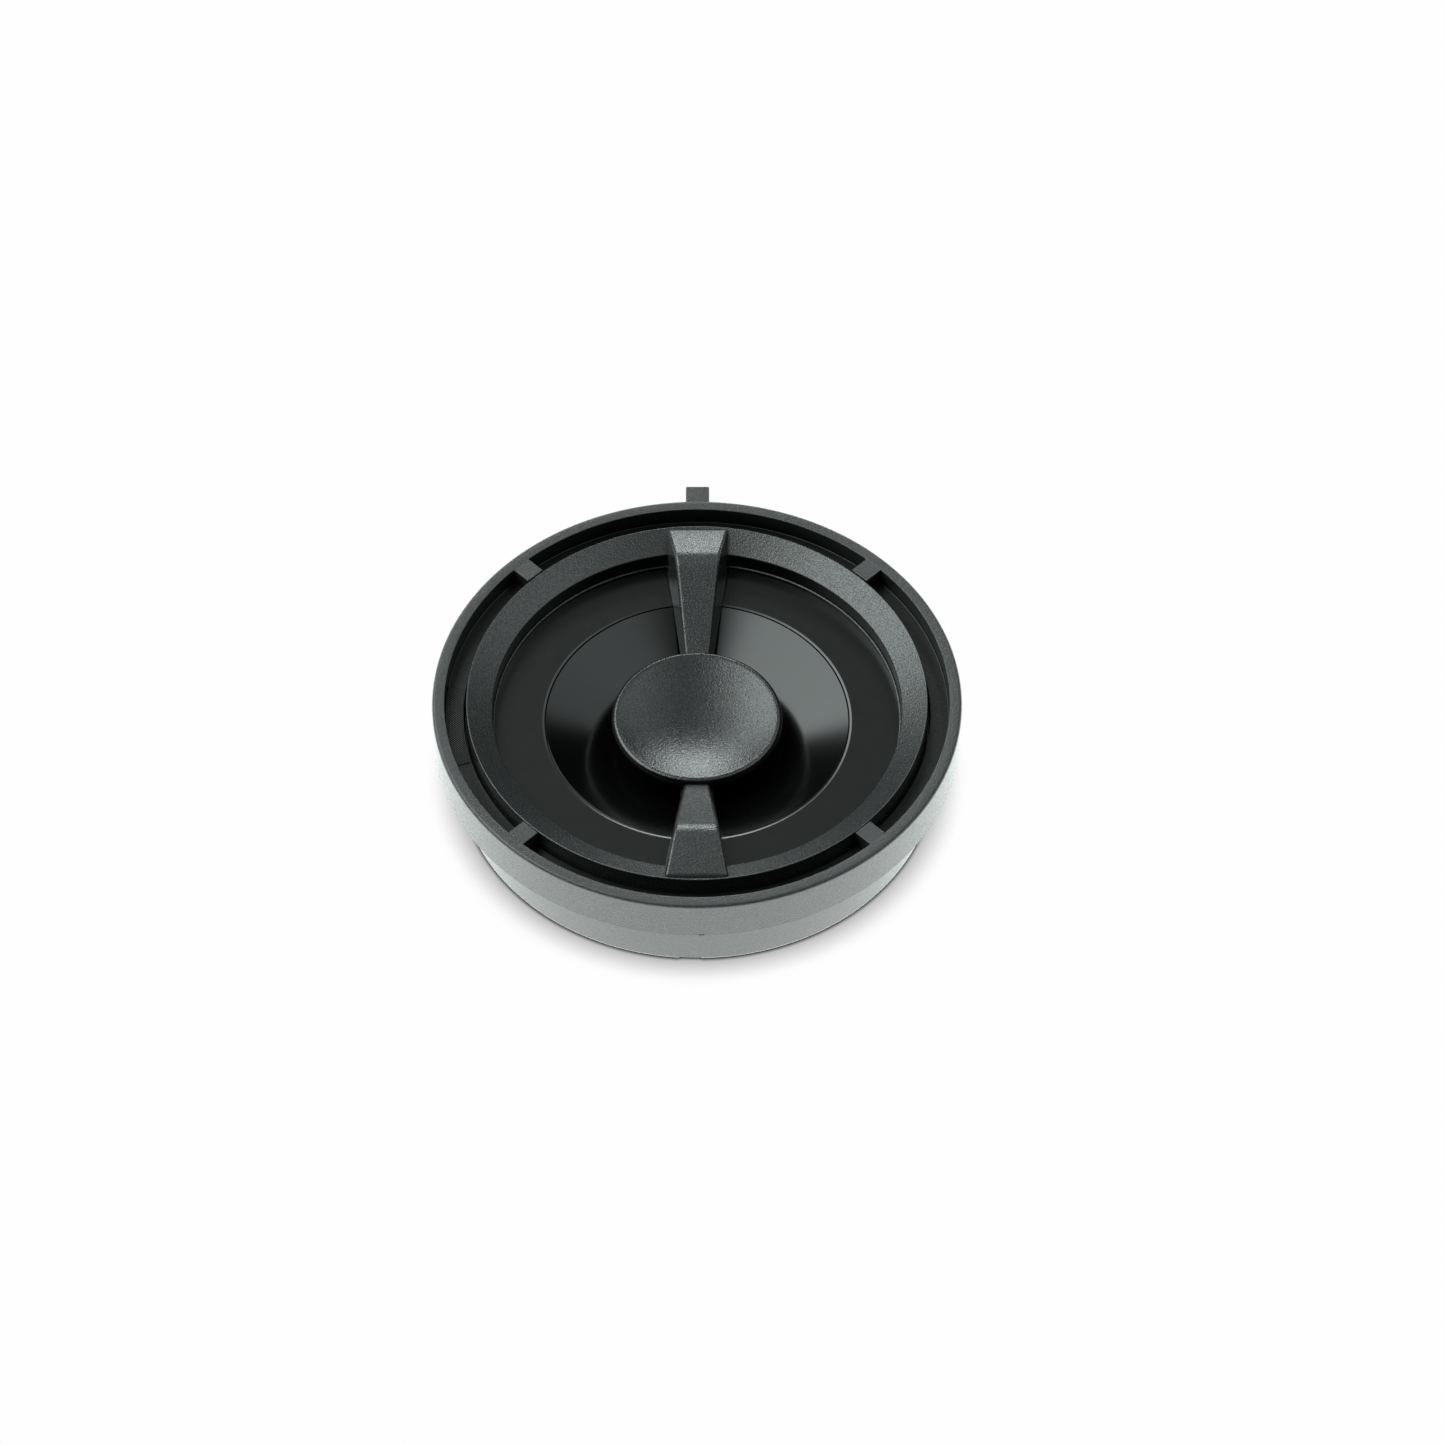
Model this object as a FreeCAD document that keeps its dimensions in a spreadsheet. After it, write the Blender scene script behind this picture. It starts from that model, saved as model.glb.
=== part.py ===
import FreeCAD, Part
import math
import os
import re
import Sketcher

# Car tweeter with a plug-in adapter ring: concave inverted-dome diaphragm behind a two-armed
# front ring with a dished centre cap. Millimetres. The origin is on the tweeter's axis at the
# foot of the barrel, +Z looks out of the grille and the locating tab is at +Y.

DIMENSIONS = {
    # adapter rim
    "rim_radius": 26.0,
    "rim_inner": 24.76,
    "rim_top": 11.35,
    "seat_plane": 6.9,
    "ledge_top": 9.45,
    "rim_bore": 22.9,
    "relief_inner": 23.9,
    "relief_top": 8.25,
    "edge_round": 0.18,
    "web_width": 2.05,
    "web_start": 45.0,
    "web_count": 4,
    "web_reach": 22.72,
    "tab_width": 2.36,
    "tab_reach": 28.0,
    "tab_low": 9.5,
    "tab_high": 11.2,
    "tab_turn": 90.0,
    "nub_width": 0.5,
    "nub_height": 0.15,
    "nub_reach": 26.08,
    "nub_turn": 271.1,
    # front ring, its two arms and its hub
    "ring_outer": 22.65,
    "ring_foot": 20.25,
    "cone_foot_radius": 20.1,
    "cone_foot": 10.06,
    "wall_foot": 20.02,
    "bead_radius": 19.85,
    "bead_height": 0.3,
    "arm_start": 22.6,
    "arm_start_top": 11.32,
    "arm_start_width": 6.35,
    "crease_radius": 17.36,
    "crease_top": 12.7,
    "crease_width": 4.45,
    "arm_end": 8.43,
    "arm_end_top": 8.45,
    "arm_end_width": 2.55,
    "arm_draft": 1.1,
    "arm_start_low": 8.6,
    "crease_low": 8.8,
    "arm_knee": 15.0,
    "arm_knee_low": 8.5,
    "arm_end_low": 6.8,
    "hub_radius": 6.5,
    "hub_low": 6.35,
    "hub_top": 7.2,
    "spoke_width": 3.2,
    "spoke_low": 6.55,
    "spoke_start": 5.8,
    "spoke_reach": 9.0,
    "arm_count": 2,
    # centre cap
    "cap_radius": 8.4,
    "cap_lip_radius": 7.88,
    "cap_lip_top": 8.82,
    "cap_widest": 8.33,
    "cap_centre": 7.62,
    "cap_foot_radius": 8.21,
    "cap_foot": 7.6,
    "cap_under": 7.25,
    "cap_under_radius": 6.9,
    "stem_radius": 1.5,
    "stem_clearance": 0.03,
    # trim washer and gasket
    "washer_inner": 15.0,
    "washer_outer": 20.2,
    "washer_low": 7.8,
    "washer_top": 8.2,
    "washer_round": 0.15,
    "gasket_inner": 18.0,
    # diaphragm, surround and voice coil
    "dish_radius": 14.9,
    "dish_edge": 8.1,
    "dish_slope": 24.0,
    "bowl_slope": 4.0,
    "dish_joint": 7.4,
    "dish_skin": 0.12,
    "skirt_low": 7.05,
    "flange_radius": 15.6,
    "surround_low": 6.85,
    "roll_centre": 16.6,
    "roll_outside": 1.1,
    "roll_inside": 0.9,
    "frame_inner": 17.8,
    "frame_outer": 19.8,
    "coil_inner": 10.0,
    "former_wall": 0.12,
    "former_low": 2.1,
    "winding_depth": 0.3,
    "winding_low": 2.4,
    "winding_top": 4.6,
    # motor
    "yoke_radius": 13.2,
    "yoke_inner": 10.8,
    "yoke_low": 0.3,
    "yoke_floor": 1.5,
    "yoke_top": 3.8,
    "yoke_chamfer": 0.3,
    "vent_radius": 1.5,
    "magnet_radius": 9.0,
    "magnet_top": 2.8,
    "pole_radius": 9.6,
    "felt_radius": 8.6,
    "felt_top": 4.0,
    # chassis
    "collar_inner": 13.25,
    "collar_outer": 14.2,
    "collar_low": 0.9,
    "lip_inner": 11.4,
    "chassis_floor_low": 4.2,
    "chassis_floor_top": 4.9,
    "chassis_inner": 19.85,
    "chassis_outer": 21.8,
    # rear housing
    "barrel_radius": 23.5,
    "barrel_chamfer": 0.15,
    "spigot_radius": 22.85,
    "housing_inner": 21.9,
    "housing_bore": 14.25,
    "housing_floor_low": 3.5,
    "recess_outer": 22.1,
    "notch_width": 2.2,
    "notch_turn": 268.5,
    "notch_height": 0.28,
    "rib_width": 0.8,
    "rib_low": 2.4,
    "rib_start": 195.0,
    "rib_span": 150.0,
    "rib_count": 6,
    # screws
    "screw_circle": 21.0,
    "screw_radius": 0.5,
    "screw_clearance": 0.03,
    "screw_tip": 9.8,
    "screw_head_radius": 0.95,
    "screw_head_height": 0.6,
    "slot_width": 0.25,
    "slot_depth": 0.3,
    "screw_count": 3,
    "first_screw": 30.0,
    # terminals
    "board_inner": 14.4,
    "board_outer": 21.6,
    "board_low": 2.5,
    "board_start": 58.0,
    "board_span": 64.0,
    "blade_thickness": 0.5,
    "blade_low": 1.0,
    "foot_start": 1.0,
    "joggle_start": 4.6,
    "joggle_length": 0.8,
    "blade_end": 10.0,
    "wide_blade": 4.8,
    "narrow_blade": 2.8,
    "blade_inner_edge": 14.65,
    "rivet_across": 2.8,
    "rivet_radius": 0.6,
    "rivet_clearance": 0.03,
    "rivet_head_radius": 0.95,
    "rivet_head_height": 0.3,
    "rivet_row": 15.6,
    "solder_height": 0.3,
    "solder_top_radius": 0.35,
    "lead_radius": 0.18,
    "lead_bend": 5.7,
    # textured pad in the left slot
    "pad_inner": 22.98,
    "pad_outer": 24.7,
    "pad_thickness": 0.08,
    "pad_start": 172.6,
    "pad_span": 23.7,
    # how far a cutting tool runs past the face that it opens
    "overrun": 1.0,
}

FUNCTIONS = ("tan", "sin", "cos")

doc = FreeCAD.newDocument("CarTweeter")
sheet = doc.addObject("Spreadsheet::Sheet", "Dims")
for row, (alias, size) in enumerate(DIMENSIONS.items(), start=1):
    sheet.set(f"A{row}", alias)
    sheet.set(f"B{row}", str(size))
    sheet.setAlias(f"B{row}", alias)
doc.recompute()

WHOLE_TURN = 360
HALF_TURN = 180
QUARTER_TURN = 90
UP = FreeCAD.Vector(0, 0, 1)


def bound(text):
    """The expression with every dimension's name pointing into the sheet."""
    return re.sub(
        r"[a-z][a-z_]*",
        lambda word: word.group() if word.group() in FUNCTIONS else "Dims." + word.group(),
        str(text),
    )


def value(text):
    """The expression's present value."""
    return float(sheet.evalExpression(bound(text)))


def datum(body, role):
    """One of the body's own origin planes or axes."""
    return next(f for f in body.Origin.OriginFeatures if f.Role == role)


def new_body(name):
    """An empty body that will be written under this name."""
    body = doc.addObject("PartDesign::Body", name)
    body.Label = name
    return body


def new_sketch(body, role, height=0, turn=0):
    """A sketch on an origin plane, lifted by height and turned about the plane's normal."""
    sketch = body.newObject("Sketcher::SketchObject", body.Name + "_sketch")
    sketch.AttachmentSupport = [(datum(body, role), "")]
    sketch.MapMode = "FlatFace"
    sketch.AttachmentOffset = FreeCAD.Placement(
        FreeCAD.Vector(0, 0, value(height)), FreeCAD.Rotation(UP, value(turn))
    )
    if height:
        sketch.setExpression("AttachmentOffset.Base.z", bound(height))
    if turn:
        sketch.setExpression("AttachmentOffset.Rotation.Angle", bound(turn))
    return sketch


def pin_point(sketch, geometry, point, across, up):
    """Hold one sketch point at the two expressions, or on an axis where one is zero."""
    for text, kind, axis in ((across, "DistanceX", -2), (up, "DistanceY", -1)):
        if value(text) == 0:
            sketch.addConstraint(Sketcher.Constraint("PointOnObject", geometry, point, axis))
            continue
        index = sketch.addConstraint(
            Sketcher.Constraint(kind, -1, 1, geometry, point, value(text))
        )
        sketch.setExpression(f"Constraints[{index}]", bound(text))


def outline(sketch, corners, arcs=None):
    """A closed outline through corners given as pairs of expressions.

    arcs maps a side's number to (height of its centre, +1 anticlockwise or -1 clockwise).
    """
    arcs = arcs or {}
    count = len(corners)
    places = [FreeCAD.Vector(value(across), value(up), 0) for across, up in corners]
    starts = []
    for side in range(count):
        here, there = places[side], places[(side + 1) % count]
        if side not in arcs:
            sketch.addGeometry(Part.LineSegment(here, there), False)
            starts.append((1, 2))
            continue
        centre_up, turn = value(arcs[side][0]), arcs[side][1]
        middle, chord = (here + there) * 0.5, there - here
        centre_across = middle.x - (centre_up - middle.y) * chord.y / chord.x
        centre = FreeCAD.Vector(centre_across, centre_up, 0)
        angles = [math.atan2(p.y - centre.y, p.x - centre.x) for p in (here, there)]
        if turn < 0:
            angles.reverse()
        circle = Part.Circle(centre, UP, here.distanceToPoint(centre))
        sketch.addGeometry(Part.ArcOfCircle(circle, *angles), False)
        starts.append((1, 2) if turn > 0 else (2, 1))
    for side in range(count):
        follower = (side + 1) % count
        sketch.addConstraint(
            Sketcher.Constraint(
                "Coincident", side, starts[side][1], follower, starts[follower][0]
            )
        )
    for side, (across, up) in enumerate(corners):
        pin_point(sketch, side, starts[side][0], across, up)
    for side, (centre_up, _) in arcs.items():
        index = sketch.addConstraint(
            Sketcher.Constraint("DistanceY", -1, 1, side, 3, value(centre_up))
        )
        sketch.setExpression(f"Constraints[{index}]", bound(centre_up))


def strip(sketch, near, far, width):
    """A rectangle along the sketch's horizontal axis, centred on it."""
    half = value(width) / 2
    corners = [(near, -half), (far, -half), (far, half), (near, half)]
    places = [FreeCAD.Vector(value(across), up, 0) for across, up in corners]
    for side in range(4):
        sketch.addGeometry(Part.LineSegment(places[side], places[(side + 1) % 4]), False)
    for side in range(4):
        sketch.addConstraint(Sketcher.Constraint("Coincident", side, 2, (side + 1) % 4, 1))
    for side in (0, 2):
        sketch.addConstraint(Sketcher.Constraint("Horizontal", side))
    sketch.addConstraint(Sketcher.Constraint("Vertical", 1))
    sketch.addConstraint(Sketcher.Constraint("Symmetric", 0, 1, 3, 1, -1))
    for kind, first, second, size in (
        ("DistanceX", (-1, 1), (0, 1), near),
        ("DistanceX", (-1, 1), (0, 2), far),
        ("DistanceY", (0, 2), (1, 2), width),
    ):
        index = sketch.addConstraint(
            Sketcher.Constraint(kind, *first, *second, value(size))
        )
        sketch.setExpression(f"Constraints[{index}]", bound(size))


def disc(sketch, across, up, radius):
    """A circle on the sketch."""
    centre = FreeCAD.Vector(value(across), value(up), 0)
    index = sketch.addGeometry(Part.Circle(centre, UP, value(radius)), False)
    pin_point(sketch, index, 3, across, up)
    rule = sketch.addConstraint(Sketcher.Constraint("Radius", index, value(radius)))
    sketch.setExpression(f"Constraints[{rule}]", bound(radius))


def revolve(body, corners, arcs=None, span=WHOLE_TURN):
    """Turn an outline of (radius, height) corners about the axis and add it to the body."""
    sketch = new_sketch(body, "XZ_Plane")
    outline(sketch, corners, arcs)
    turned = body.newObject("PartDesign::Revolution", body.Name + "_turned")
    turned.Profile = sketch
    turned.ReferenceAxis = (sketch, ["V_Axis"])
    turned.Angle = value(span)
    if span != WHOLE_TURN:
        turned.setExpression("Angle", bound(span))
    doc.recompute()
    return turned


def trim(body, corners):
    """Turn away everything inside an outline of (radius, height) corners."""
    before = body.Shape.Volume
    sketch = new_sketch(body, "XZ_Plane")
    outline(sketch, corners)
    groove = body.newObject("PartDesign::Groove", body.Name + "_trim")
    groove.Profile = sketch
    groove.ReferenceAxis = (sketch, ["V_Axis"])
    groove.Angle = WHOLE_TURN
    doc.recompute()
    if not body.Shape.Volume < before:
        raise RuntimeError(f"{groove.Name} cuts nothing")


def extrude(body, kind, sketch, length, reverse=False):
    """Pad or pocket the sketch by length, with a check that a pocket really cuts."""
    before = body.Shape.Volume if body.Shape and not body.Shape.isNull() else 0
    feature = body.newObject("PartDesign::" + kind, f"{body.Name}_{kind.lower()}")
    feature.Profile = sketch
    feature.Length = value(length)
    feature.setExpression("Length", bound(length))
    feature.Reversed = reverse
    doc.recompute()
    if kind == "Pocket" and not body.Shape.Volume < before:
        raise RuntimeError(f"{feature.Name} cuts nothing")
    return feature


def pattern(body, feature, span, count):
    """Repeat a feature about the vertical axis."""
    copies = body.newObject("PartDesign::PolarPattern", body.Name + "_pattern")
    copies.Originals = [feature]
    copies.Axis = (feature.Profile[0], ["N_Axis"])
    copies.Angle = span
    copies.Occurrences = count
    body.Tip = copies
    doc.recompute()
    return copies


def turned_part(name, corners, arcs=None):
    """A piece that is one turned outline."""
    body = new_body(name)
    revolve(body, corners, arcs)
    return body


def washer_part(name, inner, outer, low, top):
    """A plain ring."""
    return turned_part(name, [(inner, low), (outer, low), (outer, top), (inner, top)])


def disc_part(name, radius, low, top):
    """A plain disc."""
    return turned_part(name, [(0, low), (radius, low), (radius, top), (0, top)])


def cylinder(name, radius, low, top, place):
    """A primitive cylinder that stands at (x, y) from low to top."""
    solid = doc.addObject("Part::Cylinder", name)
    solid.setExpression("Radius", bound(radius))
    solid.setExpression("Height", bound(f"{top} - ({low})"))
    solid.Placement.Base = FreeCAD.Vector(place[0], place[1], value(low))
    solid.setExpression("Placement.Base.z", bound(low))
    return solid


def fused(name, solids):
    """Several primitives as one solid."""
    whole = doc.addObject("Part::MultiFuse", name)
    whole.Shapes = solids
    return whole


def group(name, members):
    """Separate identical pieces in one node."""
    together = doc.addObject("Part::Compound", name)
    together.Links = members
    together.Label = name
    return together


def on_circle(radius, degrees):
    """A place on a circle about the axis."""
    angle = math.radians(degrees)
    return radius * math.cos(angle), radius * math.sin(angle)


def screw_angles():
    """The angles of the evenly spaced screws."""
    count = int(value("screw_count"))
    return [value("first_screw") + k * WHOLE_TURN / count for k in range(count)]


# ---------------------------------------------------------------- adapter and housing


def make_adapter_rim():
    """Outer ring: skirt, slot floor with a relief under it, four webs, tab and nub."""
    body = new_body("adapter_rim")
    revolve(
        body,
        [
            ("rim_bore", "seat_plane"),
            ("relief_inner", "seat_plane"),
            ("relief_inner", "relief_top"),
            ("rim_inner", "relief_top"),
            ("rim_inner", "seat_plane"),
            ("rim_radius - edge_round", "seat_plane"),
            ("rim_radius", "seat_plane + edge_round"),
            ("rim_radius", "rim_top - edge_round"),
            ("rim_radius - edge_round", "rim_top"),
            ("rim_inner + edge_round", "rim_top"),
            ("rim_inner", "rim_top - edge_round"),
            ("rim_inner", "ledge_top"),
            ("rim_bore", "ledge_top"),
        ],
        {
            5: ("seat_plane + edge_round", 1),
            7: ("rim_top - edge_round", 1),
            9: ("rim_top - edge_round", 1),
        },
    )
    web = new_sketch(body, "XY_Plane", "ledge_top - edge_round", "web_start")
    strip(web, "web_reach", "rim_inner + edge_round * 2", "web_width")
    first_web = extrude(body, "Pad", web, "rim_top - ledge_top + edge_round")
    pattern(body, first_web, WHOLE_TURN, int(value("web_count")))
    tab = new_sketch(body, "XY_Plane", "tab_low", "tab_turn")
    strip(tab, "rim_radius - edge_round * 2", "tab_reach", "tab_width")
    extrude(body, "Pad", tab, "tab_high - tab_low")
    nub = new_sketch(body, "XY_Plane", "seat_plane", "nub_turn")
    strip(nub, "rim_radius - edge_round * 3", "nub_reach", "nub_width")
    extrude(body, "Pad", nub, "nub_height")
    return body


def make_slot_mesh_pad():
    """Thin textured pad glued on the floor of the left slot."""
    body = new_body("slot_mesh_pad")
    top = "ledge_top + pad_thickness"
    revolve(
        body,
        [
            ("pad_inner", "ledge_top"),
            ("pad_outer", "ledge_top"),
            ("pad_outer", top),
            ("pad_inner", top),
        ],
        span="pad_span",
    )
    body.Placement.Rotation = FreeCAD.Rotation(UP, value("pad_start"))
    return body


def make_rear_housing():
    """Barrel with a spigot for the rim, a floor round the motor, stiffening ribs and a notch."""
    body = new_body("rear_housing")
    revolve(
        body,
        [
            ("recess_outer", 0),
            ("barrel_radius - barrel_chamfer", 0),
            ("barrel_radius", "barrel_chamfer"),
            ("barrel_radius", "seat_plane"),
            ("spigot_radius", "seat_plane"),
            ("spigot_radius", "washer_low"),
            ("housing_inner", "washer_low"),
            ("housing_inner", "chassis_floor_low"),
            ("housing_bore", "chassis_floor_low"),
            ("housing_bore", "housing_floor_low"),
            ("recess_outer", "housing_floor_low"),
        ],
    )
    rib = new_sketch(body, "XY_Plane", "rib_low", "rib_start")
    strip(rib, "housing_bore + rib_width", "recess_outer + edge_round", "rib_width")
    first_rib = extrude(body, "Pad", rib, "housing_floor_low - rib_low + edge_round")
    pattern(body, first_rib, value("rib_span"), int(value("rib_count")))
    notch = new_sketch(body, "XY_Plane", "notch_height", "notch_turn")
    strip(notch, "recess_outer - overrun", "barrel_radius + overrun", "notch_width")
    extrude(body, "Pocket", notch, "notch_height + overrun")
    drill_screw_holes(body, "housing_floor_low - overrun", "chassis_floor_low + overrun")
    drill_rivet_holes(body, "housing_floor_low - overrun", "chassis_floor_low + overrun")
    return body


def drill_screw_holes(body, low, top):
    """Holes on the screw circle from low to top."""
    hole = new_sketch(body, "XY_Plane", top, "first_screw")
    disc(hole, "screw_circle", 0, "screw_radius + screw_clearance")
    first_hole = extrude(body, "Pocket", hole, f"{top} - ({low})")
    pattern(body, first_hole, WHOLE_TURN, int(value("screw_count")))


def drill_rivet_holes(body, low, top, turned="0"):
    """Two holes for the terminal rivets, in a body that will be turned by the given angle."""
    off_axis = math.degrees(math.atan2(value("rivet_across"), value("rivet_row")))
    reach = "(rivet_across^2 + rivet_row^2)^0.5"
    for side in (1, -1):
        turn = f"{QUARTER_TURN - side * off_axis} - ({turned})"
        hole = new_sketch(body, "XY_Plane", top, turn)
        disc(hole, reach, 0, "rivet_radius + rivet_clearance")
        extrude(body, "Pocket", hole, f"{top} - ({low})")


# ---------------------------------------------------------------- front ring and cap


def add_arm(body):
    """One arm along +Y: a tapering bar with a crease in its top and drafted sides."""
    slope = "(crease_top - arm_end_top) / (crease_radius - arm_end)"
    taper = "(crease_width - arm_end_width) / (crease_radius - arm_end)"
    stations = (
        ("arm_start", "arm_start_width", "arm_start_low", "arm_start_top"),
        ("crease_radius", "crease_width", "crease_low", "crease_top"),
        (
            "arm_knee",
            f"crease_width - (crease_radius - arm_knee) * {taper}",
            "arm_knee_low",
            f"crease_top - (crease_radius - arm_knee) * {slope}",
        ),
        ("arm_end", "arm_end_width", "arm_end_low", "arm_end_top"),
    )
    sections = []
    for reach, width, low, top in stations:
        sketch = new_sketch(body, "XZ_Plane", f"-({reach})")
        trapezium(sketch, f"{width} + arm_draft", width, low, top)
        sections.append(sketch)
    loft = body.newObject("PartDesign::AdditiveLoft", body.Name + "_arm")
    loft.Profile = sections[0]
    loft.Sections = sections[1:]
    loft.Ruled = True
    doc.recompute()
    return loft


def trapezium(sketch, wide, narrow, low, top):
    """A symmetrical section, wide at its foot and narrow at its top."""
    half_wide, half_narrow = value(wide) / 2, value(narrow) / 2
    corners = [
        FreeCAD.Vector(-half_wide, value(low), 0),
        FreeCAD.Vector(half_wide, value(low), 0),
        FreeCAD.Vector(half_narrow, value(top), 0),
        FreeCAD.Vector(-half_narrow, value(top), 0),
    ]
    for side in range(4):
        sketch.addGeometry(Part.LineSegment(corners[side], corners[(side + 1) % 4]), False)
    for side in range(4):
        sketch.addConstraint(Sketcher.Constraint("Coincident", side, 2, (side + 1) % 4, 1))
    for first, second in (((0, 1), (0, 2)), ((2, 2), (2, 1))):
        sketch.addConstraint(Sketcher.Constraint("Symmetric", *first, *second, -2))
    for kind, first, second, size in (
        ("DistanceX", (0, 1), (0, 2), wide),
        ("DistanceX", (2, 2), (2, 1), narrow),
        ("DistanceY", (-1, 1), (0, 1), low),
        ("DistanceY", (-1, 1), (2, 1), top),
    ):
        index = sketch.addConstraint(
            Sketcher.Constraint(kind, *first, *second, value(size))
        )
        sketch.setExpression(f"Constraints[{index}]", bound(size))


def make_front_ring():
    """Inner ring with a conical face, two arms that carry a hub under the centre cap."""
    body = new_body("front_ring")
    revolve(
        body,
        [
            ("ring_foot", "washer_low"),
            ("ring_outer", "washer_low"),
            ("ring_outer", "rim_top"),
            ("cone_foot_radius", "cone_foot"),
            ("wall_foot", "washer_top + bead_height + edge_round"),
            ("bead_radius", "washer_top + bead_height"),
            ("bead_radius", "washer_top"),
            ("ring_foot", "washer_top"),
        ],
    )
    arm = add_arm(body)
    both = body.newObject("PartDesign::PolarPattern", body.Name + "_arms")
    both.Originals = [arm]
    both.Axis = (datum(body, "Z_Axis"), [""])
    both.Angle = WHOLE_TURN
    both.Occurrences = int(value("arm_count"))
    body.Tip = both
    doc.recompute()
    trim(
        body,
        [
            ("ring_outer", "washer_low"),
            ("arm_start + overrun", "washer_low"),
            ("arm_start + overrun", "crease_top"),
            ("ring_outer", "crease_top"),
        ],
    )
    spoke = new_sketch(body, "XY_Plane", "spoke_low", QUARTER_TURN)
    strip(spoke, "spoke_start", "spoke_reach", "spoke_width")
    first_spoke = extrude(body, "Pad", spoke, "hub_top - spoke_low")
    pattern(body, first_spoke, WHOLE_TURN, int(value("arm_count")))
    bore = "stem_radius + stem_clearance"
    revolve(
        body,
        [
            (bore, "hub_low"),
            ("hub_radius", "hub_low"),
            ("hub_radius", "hub_top"),
            (bore, "hub_top"),
        ],
    )
    drill_screw_holes(body, "washer_low - overrun", "screw_tip + screw_clearance")
    return body


def make_center_cap():
    """Shallow dished disc with a rounded lip and a stem that presses into the hub."""
    depth = "(cap_lip_top - cap_centre)"
    hollow_radius = f"(cap_lip_radius^2 + {depth}^2) / (2 * {depth})"
    return turned_part(
        "center_cap",
        [
            (0, "hub_low"),
            ("stem_radius", "hub_low"),
            ("stem_radius", "cap_under"),
            ("cap_under_radius", "cap_under"),
            ("cap_under_radius", "cap_foot"),
            ("cap_foot_radius", "cap_foot"),
            ("cap_radius", "cap_widest"),
            ("cap_lip_radius", "cap_lip_top"),
            (0, "cap_centre"),
        ],
        {6: ("cap_widest", 1), 7: (f"cap_centre + {hollow_radius}", -1)},
    )


def make_trim_washer():
    """Flat satin washer round the diaphragm, with a rounded inner edge."""
    return turned_part(
        "trim_washer",
        [
            ("washer_inner", "washer_low"),
            ("washer_outer", "washer_low"),
            ("washer_outer", "washer_top"),
            ("washer_inner + washer_round", "washer_top"),
            ("washer_inner", "washer_top - washer_round"),
        ],
        {3: ("washer_top - washer_round", 1)},
    )


# ---------------------------------------------------------------- diaphragm and coil

JOINT_HEIGHT = "(dish_edge - (dish_radius - dish_joint) * tan(dish_slope))"


def dish_height(radius):
    """Height of the cone's upper face at a radius outside the joint."""
    return f"dish_edge - (dish_radius - ({radius})) * tan(dish_slope)"


def make_diaphragm():
    """Inverted dome: a cone that flattens into a concave centre, with a skirt round it."""
    bowl = "dish_joint / sin(bowl_slope)"
    bowl_centre = f"{JOINT_HEIGHT} + dish_joint / tan(bowl_slope)"
    skirt_inner = "dish_radius - dish_skin"
    return turned_part(
        "diaphragm",
        [
            (0, f"{bowl_centre} - {bowl} - dish_skin"),
            ("dish_joint", f"{JOINT_HEIGHT} - dish_skin"),
            (skirt_inner, f"{dish_height(skirt_inner)} - dish_skin"),
            (skirt_inner, "skirt_low"),
            ("flange_radius", "skirt_low"),
            ("flange_radius", "skirt_low + dish_skin"),
            ("dish_radius", "skirt_low + dish_skin"),
            ("dish_radius", "dish_edge"),
            ("dish_joint", JOINT_HEIGHT),
            (0, f"{bowl_centre} - {bowl}"),
        ],
        {0: (f"{bowl_centre} - dish_skin", 1), 8: (bowl_centre, -1)},
    )


def make_surround():
    """Half-roll suspension between the diaphragm's flange and the mounting frame."""
    roll_start = "roll_centre - roll_outside"
    roll_end = "roll_centre + roll_outside"
    inner_start = "roll_centre - roll_inside"
    inner_end = "roll_centre + roll_inside"
    return turned_part(
        "surround",
        [
            ("dish_radius", "surround_low"),
            (roll_start, "surround_low"),
            (roll_end, "surround_low"),
            ("frame_outer", "surround_low"),
            ("frame_outer", "skirt_low"),
            (inner_end, "skirt_low"),
            (inner_end, "surround_low"),
            (inner_start, "surround_low"),
            (inner_start, "skirt_low"),
            ("dish_radius", "skirt_low"),
        ],
        {1: ("surround_low", 1), 6: ("surround_low", -1)},
    )


def make_voice_coil_former():
    """Thin tube under the diaphragm, its top edge cut to the cone's slope."""
    outer = "coil_inner + former_wall"
    return turned_part(
        "voice_coil_former",
        [
            ("coil_inner", "former_low"),
            (outer, "former_low"),
            (outer, f"{dish_height(outer)} - dish_skin"),
            ("coil_inner", f"{dish_height('coil_inner')} - dish_skin"),
        ],
    )


def make_yoke_cup():
    """Steel cup that carries the magnet and closes the magnetic circuit."""
    return turned_part(
        "yoke_cup",
        [
            ("vent_radius", "yoke_low"),
            ("yoke_radius - yoke_chamfer", "yoke_low"),
            ("yoke_radius", "yoke_low + yoke_chamfer"),
            ("yoke_radius", "yoke_top"),
            ("yoke_inner", "yoke_top"),
            ("yoke_inner", "yoke_floor"),
            ("vent_radius", "yoke_floor"),
        ],
    )


def make_chassis():
    """Frame round the motor: collar, stop lip, floor and outer wall with screw holes."""
    body = new_body("chassis")
    revolve(
        body,
        [
            ("collar_inner", "collar_low"),
            ("collar_outer", "collar_low"),
            ("collar_outer", "chassis_floor_low"),
            ("chassis_outer", "chassis_floor_low"),
            ("chassis_outer", "washer_low"),
            ("chassis_inner", "washer_low"),
            ("chassis_inner", "chassis_floor_top"),
            ("lip_inner", "chassis_floor_top"),
            ("lip_inner", "yoke_top"),
            ("collar_inner", "yoke_top"),
        ],
    )
    drill_screw_holes(body, "chassis_floor_low - overrun", "washer_low + overrun")
    drill_rivet_holes(body, "chassis_floor_low - overrun", "chassis_floor_top + overrun")
    return body


# ---------------------------------------------------------------- terminals and fasteners


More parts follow.
